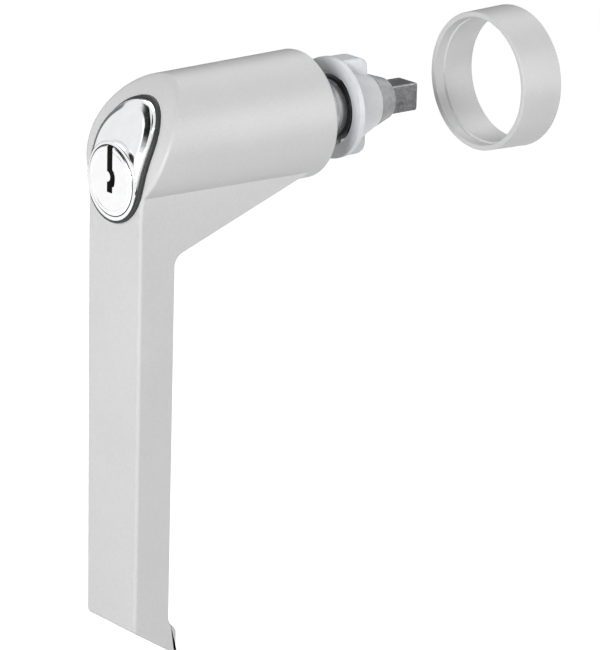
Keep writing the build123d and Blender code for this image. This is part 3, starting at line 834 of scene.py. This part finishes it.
def make_arm():
    """Tapered arm with its foot, and the gusset."""
    side = arm_half_width - 0.8
    front_band = hub_front + 2.5
    under_plug = plug_height - 0.5
    arm = prism("arm", [spot(-arm_half_width, d, h) for d, h in arm_outline()],
                spot(2 * arm_half_width, 0, 0))
    bevel_edges(arm, lambda x, depth, height: abs(x) > side and abs(depth - arm_rear) < touch
                and rear_edge_foot < height < rear_edge_top, arm_rear_edge, 1)
    bevel_edges(arm, lambda x, depth, height: abs(x) > side and height < under_plug
                and (depth < front_band or height < arm_foot), head_edge, 4)
    for level in (taper_start, taper_end):
        select_all_vertices(arm)
        bpy.ops.mesh.bisect(plane_co=spot(0, 0, level), plane_no=(0, 0, 1))
        bpy.ops.object.mode_set(mode="OBJECT")
    select_vertices(arm, lambda x, depth, height: height < taper_end + touch)
    bpy.ops.transform.resize(value=(foot_half_width / arm_half_width, 1, 1),
                             center_override=(0, 0, 0))
    bpy.ops.object.mode_set(mode="OBJECT")
    slice_front(arm, arm_levels)
    lean_back(arm, 0)
    return arm


def make_lever():
    """Painted casting: barrel, arm and gusset in one, with its hollows."""
    lever = make_barrel()
    combine(lever, make_arm(), "UNION")
    cavity = turned("cavity", [(web_rear, 0), (web_rear, bush_seat_radius),
                               (bush_shoulder, bush_seat_radius), (bush_shoulder, cavity_radius),
                               (cap_seat, cavity_radius), (cap_seat, cap_seat_radius),
                               (clear, cap_seat_radius), (clear, 0)])
    finger = rectangle(-finger_half_width, finger_foot, finger_half_width, finger_top)
    for hollow in (block("pocket", pear(pocket_gap), in_front, lock_rear),
                   block("chamber", pear(-chamber_ledge), lock_rear - clear, web_front),
                   cavity,
                   block("finger_window", finger, finger_start, finger_end),
                   square_bar("web_hole", bar_hole_width, web_front - clear, web_rear + clear),
                   round_bar("grub_hole", grub_radius, spot(0, grub_depth, grub_start),
                             spot(0, grub_depth, grub_end))):
        combine(lever, hollow, "DIFFERENCE")
    smooth(lever)
    finish_piece(lever, "lever_casting")


def make_lock_housing():
    """Chrome insert: leaning face with a sloped band round it, and the boss of the plug."""
    housing = block("chrome_lock_housing", pear(), lock_rear, hub_front)
    select_faces(housing, lambda x, depth, height: depth < hub_front + near)
    bpy.ops.mesh.inset(thickness=band_width * mm, depth=0)
    bpy.ops.transform.translate(value=spot(0, -band_rise, 0))
    bpy.ops.object.mode_set(mode="OBJECT")
    for edge, width, segments in ((hub_front, 0.6, 4), (hub_front - band_rise, 0.5, 3)):
        bevel_edges(housing, lambda x, depth, height: abs(depth - edge) < touch, width, segments)
    slice_front(housing, lock_levels)
    lean_back(housing, -lock_proud)
    # The low end of the face would stand out of the boss, so it is held flat just behind it
    flat_depth = boss_front + 0.03
    select_vertices(housing, lambda x, depth, height: depth < flat_depth)
    bpy.ops.transform.resize(value=(1, 0, 1), center_override=spot(0, flat_depth, 0))
    bpy.ops.object.mode_set(mode="OBJECT")
    boss_radius = lock_low_radius - boss_inset
    boss = turned("boss", [(boss_root, 0), (boss_root, boss_radius), (boss_front, boss_radius),
                           (boss_front, 0)], centre=(0, plug_height))
    rim = (boss_radius - 0.8)**2
    bevel_edges(boss, lambda x, depth, height: depth < boss_front + touch
                and x * x + (height - plug_height)**2 > rim, boss_edge, 3)
    combine(housing, boss, "UNION")
    bore_radius = plug_radius + bore_gap
    bore = turned("bore", [(in_front, 0), (in_front, bore_radius), (bore_end, bore_radius),
                           (bore_end, 0)], centre=(0, plug_height))
    combine(housing, bore, "DIFFERENCE")
    smooth(housing)
    finish_piece(housing, "lock_housing")


def make_surround():
    """Black gasket round the chrome insert, lying on the leaning face."""
    reach = 4.0
    surround = block("lock_surround", pear(gasket_width), hub_front, hub_front + gasket_thickness)
    opening = block("opening", pear(pocket_gap), hub_front - clear,
                    hub_front + gasket_thickness + clear)
    combine(surround, opening, "DIFFERENCE")
    slice_front(surround, lock_levels, reach)
    lean_back(surround, -gasket_thickness, reach)
    soften(surround, 0.12, 2)
    smooth(surround)
    finish_piece(surround, "lock_gasket")


def make_plug():
    """Turned plug with a fine groove near its edge and a warded keyway."""
    groove = [(plug_front, groove_radius - groove_half_width),
              (plug_front + groove_depth, groove_radius),
              (plug_front, groove_radius + groove_half_width)]
    edge = [(plug_front, plug_radius - plug_edge), (plug_front + plug_edge, plug_radius)]
    plug = turned("turned_plug", [(plug_front, 0)] + groove + edge
                  + [(plug_rear, plug_radius), (plug_rear, 0)], centre=(0, plug_height))
    # Keyway from the plug's centre: a slot with a round ward on the left and a belly on the right
    half = 1.2
    slot_top, slot_foot = 9.8, -3.3
    ward = arc((-half, 1.0), 1.45, 90, -90, 8)
    belly = [(half, -1.6), (2.0, -1.2), (2.35, 0.2), (2.35, 1.6), (1.9, 2.7), (half, 3.3)]
    outline = ([(-half, slot_top), (-half, 2.5)] + ward
               + [(-half, -0.6), (-half, slot_foot), (half, slot_foot)] + belly
               + [(half, slot_top)])
    keyway = block("keyway", [(x, plug_height + h) for x, h in outline], in_front, keyway_end)
    plug.data.materials.append(materials["plug_nickel"])
    # The keyway's walls take the near-black painted shade; the rest of the plug keeps its nickel
    keyway.data.materials.append(keyway_shade)
    combine(plug, keyway, "DIFFERENCE")
    smooth(plug)
    finish_piece(plug, "key_plug")


def make_flange():
    """Nylon disc with a recess in front, a tapered boss and two rounded lugs behind."""
    flange = turned("nylon_door_flange", [
        (disc_front, recess_radius), (disc_front, disc_radius), (0, disc_radius), (0, cone_root),
        (cone_end, cone_end_radius), (cone_end, bar_bore), (sleeve_seat, bar_bore),
        (sleeve_seat, sleeve_seat_radius), (recess_floor, sleeve_seat_radius),
        (recess_floor, recess_radius), (disc_front, recess_radius)], steps=128)
    crown = arc((lug_end - lug_round, lug_top - lug_round), lug_round, 90, 0, 6)
    profile = [(lug_front, lug_root), (lug_front, lug_top)] + crown + [(lug_end, lug_root)]
    lugs = prism("lugs", [spot(-lug_half_width, d, h) for d, h in profile],
                 spot(2 * lug_half_width, 0, 0))
    soften(lugs, 0.9, 4)
    select_all_vertices(lugs)
    bpy.ops.mesh.duplicate()
    bpy.ops.transform.rotate(value=pi, orient_axis="Y", center_override=(0, 0, 0))
    bpy.ops.object.mode_set(mode="OBJECT")
    combine(flange, lugs, "UNION")
    soften(flange, 0.22, 3)
    smooth(flange)
    finish_piece(flange, "mounting_flange")


def collar_pin_hole():
    """Cutter for the pin that goes up through collar and bar to the axis."""
    below = -9
    return round_bar("pin_hole", pin_hole_radius, spot(0, collar_pin_depth, below),
                     spot(0, collar_pin_depth, 0))


def make_collar():
    """Cast collar behind the nylon boss, with the bar's square hole."""
    collar = turned("cast_collar", [(collar_front, 0), (collar_front, collar_front_radius),
                                    (collar_rear, collar_rear_radius), (collar_rear, 0)])
    soften(collar, 0.35, 3)
    hole_start, hole_end = 10, 20
    hole = square_bar("collar_hole", bar_hole_width, hole_start, hole_end)
    combine(collar, hole, "DIFFERENCE")
    combine(collar, collar_pin_hole(), "DIFFERENCE")
    smooth(collar)
    finish_piece(collar, "spindle_collar")


def make_spindle():
    """Square bar with eased edges, a stud in front and a tapped hole in its rear end."""
    bar = square_bar("square_bar", bar_width, web_front, bar_rear)
    bevel_edges(bar, lambda x, depth, height: depth > bar_rear - near, 0.8, 1)
    soften(bar, 0.35, 3)
    stud = round_bar("stud", stud_radius, spot(0, stud_front, 0), spot(0, stud_rear, 0))
    combine(bar, stud, "UNION")
    combine(bar, collar_pin_hole(), "DIFFERENCE")
    core_end = core_sink + core_flare
    core = turned("core", [(core_start, 0), (core_start, core_radius), (core_sink, core_radius),
                           (core_end, core_radius + core_flare), (core_end, 0)], steps=48)
    combine(bar, core, "DIFFERENCE")
    smooth(bar)
    finish_piece(bar, "spindle")


def make_ring(node, name, section, edge, steps=96):
    """Turned ring with rounded edges that stands for a node."""
    ring = turned(name, section, steps=steps)
    soften(ring, edge)
    smooth(ring)
    finish_piece(ring, node)


def make_washer(node, name, outer):
    """Plain washer at a node's depths."""
    low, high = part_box(node)
    make_ring(node, name, ring_section(low.y / mm, high.y / mm, outer, washer_bore), 0.12)


def make_clips():
    """Two equal open retaining rings on the sleeve, with their gap at the bottom."""
    low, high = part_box("thrust_circlip")
    clip = turned("thrust_clip", ring_section(low.y / mm, high.y / mm, high.x / mm, clip_bore),
                  sweep=clip_sweep, start=180 + (360 - clip_sweep) / 2)
    soften(clip, 0.15)
    smooth(clip)
    bpy.ops.object.select_all(action="DESELECT")
    clip.select_set(True)
    bpy.ops.object.duplicate()
    twin = bpy.context.object
    twin.name = twin.data.name = "recess_clip"
    select_all_vertices(twin)
    bpy.ops.transform.translate(value=(0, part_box("flange_circlip")[0].y - low.y, 0))
    bpy.ops.object.mode_set(mode="OBJECT")
    finish_piece(clip, "thrust_circlip")
    finish_piece(twin, "flange_circlip")


def make_cover_ring():
    """Loose ring, slightly conical outside, with a wider step inside its front."""
    low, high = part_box("cover_ring")
    front, rear = low.y / mm, high.y / mm
    step_depth, step_radius, bore_radius = 3.4, 18.6, 18.0
    front_radius, rear_radius = 20.2, 20.68
    make_ring("cover_ring", "painted_cover_ring",
              [(front, step_radius), (front + step_depth, step_radius),
               (front + step_depth, bore_radius), (rear, bore_radius), (rear, rear_radius),
               (front, front_radius), (front, step_radius)], 0.3, steps=160)


def make_sleeve():
    """Steel tube that the lever turns on, with turned grooves, the bolt's notches and pin holes."""
    section = [(sleeve_front, sleeve_bore), (sleeve_rear, sleeve_bore),
               (sleeve_rear, sleeve_radius)]
    # Rear and front of each groove, and the radius of its floor
    for rear, front, floor in ((0, -1.7, 7.9), (-3.0, -3.25, 8.25), (-4.3, -5.4, 8.0),
                               (-9.5, -10.6, 7.9), (-15.8, -16.9, 7.9)):
        section += [(rear, sleeve_radius), (rear, floor), (front, floor), (front, sleeve_radius)]
    section += [(sleeve_front, sleeve_radius), (sleeve_front, sleeve_bore)]
    sleeve = turned("sleeve_tube", section)
    narrow, long = notch_width / 2, sleeve_radius + 1.5
    for across, up in ((narrow, long), (long, narrow)):
        notch = block("notch", rectangle(-across, -up, across, up), notch_start, notch_end)
        combine(sleeve, notch, "DIFFERENCE")
    outside = 15
    combine(sleeve, round_bar("pin_hole", pin_hole_radius, spot(-outside, sleeve_pin_depth, 0),
                              spot(outside, sleeve_pin_depth, 0)), "DIFFERENCE")
    smooth(sleeve)
    finish_piece(sleeve, "index_sleeve")


def make_bush():
    """Nylon bush in the hub's rear, with a rim behind the cap."""
    front, rim_front, rear = -15.5, -12.45, -11.5
    bore, tube_radius, rim_radius = 8.6, 9.65, 10.3
    make_ring("rear_bush", "hub_bush",
              [(front, bore), (rear, bore), (rear, rim_radius), (rim_front, rim_radius),
               (rim_front, tube_radius), (front, tube_radius), (front, bore)], 0.15)


def stepped_pin(name, centre, start, narrow, cone_start, cone_end, wide, end):
    """Solid pin that widens over a cone, given by its depths and its two radii."""
    return turned(name, [(start, 0), (start, narrow), (cone_start, narrow), (cone_end, wide),
                         (end, wide), (end, 0)], centre=centre, steps=32)


def make_hub_cap():
    """Cap on the hub's rear and its countersunk screws, with one screw modelled and copied."""
    centres = [(screw_circle * cos(radians(a)), screw_circle * sin(radians(a)))
               for a in screw_angles]
    first = centres[0]
    moves = [spot(x - old_x, 0, height - old_height)
             for (old_x, old_height), (x, height) in zip(centres, centres[1:])]
    cap = turned("cast_hub_cap", ring_section(cap_front, hub_rear, cap_radius, cap_bore))
    sinks = stepped_pin("sinks", first, start=-16, narrow=1.3, cone_start=-13.5,
                        cone_end=-12.4, wide=2.4, end=-12)
    copy_mesh(sinks, moves)
    combine(cap, sinks, "DIFFERENCE")
    soften(cap, 0.15, 2)
    smooth(cap)
    finish_piece(cap, "hub_cap")
    screws = stepped_pin("countersunk_screws", first, start=-21, narrow=1.15, cone_start=-13.7,
                         cone_end=-12.7, wide=2.15, end=-12.55)
    hexagon = arc(first, hex_radius, 0, 300, 5)
    combine(screws, block("socket", hexagon, hex_floor, hex_mouth), "DIFFERENCE")
    copy_mesh(screws, moves)
    smooth(screws)
    finish_piece(screws, "cap_screws")


for node in nodes:
    dress(node)
make_lever()
make_lock_housing()
make_surround()
make_plug()
make_flange()
make_collar()
make_spindle()
make_hub_cap()
make_cover_ring()
make_sleeve()
make_bush()
make_washer("wave_washer", "thrust_washer", outer=10.0)
make_washer("seat_washer", "recess_washer", outer=10.5)
make_clips()

add_camera()
add_world(ambient=0.14)
add_floor(height=-0.3, reach=8, grey=0.65, glow=0.9)
lock_centre = spot(0, hub_front, -3)
boss_centre = spot(0, 10, 0)
bar_centre = spot(0, 23, 0)

# Lamps, with angles in degrees, lengths in metres and power in watts
softbox("key_box", view_aim, azimuth=29, elevation=19, distance=0.9,
        width=0.26, height=0.26, power=6.1)
softbox("front_box", view_aim, azimuth=-20, elevation=25, distance=0.9,
        width=0.8, height=0.8, power=0.9)
softbox("side_streak", view_aim, azimuth=128, elevation=14, distance=0.9,
        width=0.18, height=0.8, power=2.6)
softbox("back_top", view_aim, azimuth=215, elevation=45, distance=0.9,
        width=0.8, height=0.5, power=2.6)
softbox("boss_fill", boss_centre, azimuth=104, elevation=22, distance=0.14,
        width=0.05, height=0.05, power=0.018)

# Boards that the chrome and the bar show
dark_card("left_card", lock_centre, azimuth=-92, elevation=0, distance=0.6,
          width=0.3, height=0.6, tone=0.2)
dark_card("right_card", lock_centre, azimuth=130, elevation=-22, distance=0.6,
          width=0.5, height=0.34)
dark_card("front_card", lock_centre, azimuth=-14, elevation=48, distance=0.6,
          width=0.42, height=0.56, fade=0.4)
dark_card("top_card", lock_centre, azimuth=-56, elevation=58, distance=0.6,
          width=0.4, height=0.26)
dark_card("upper_card", lock_centre, azimuth=116, elevation=70, distance=0.6,
          width=0.34, height=0.3)
dark_card("bar_card", bar_centre, azimuth=231, elevation=17, distance=0.4,
          width=0.4, height=0.3)
bpy.context.scene.view_settings.view_transform = "Standard"
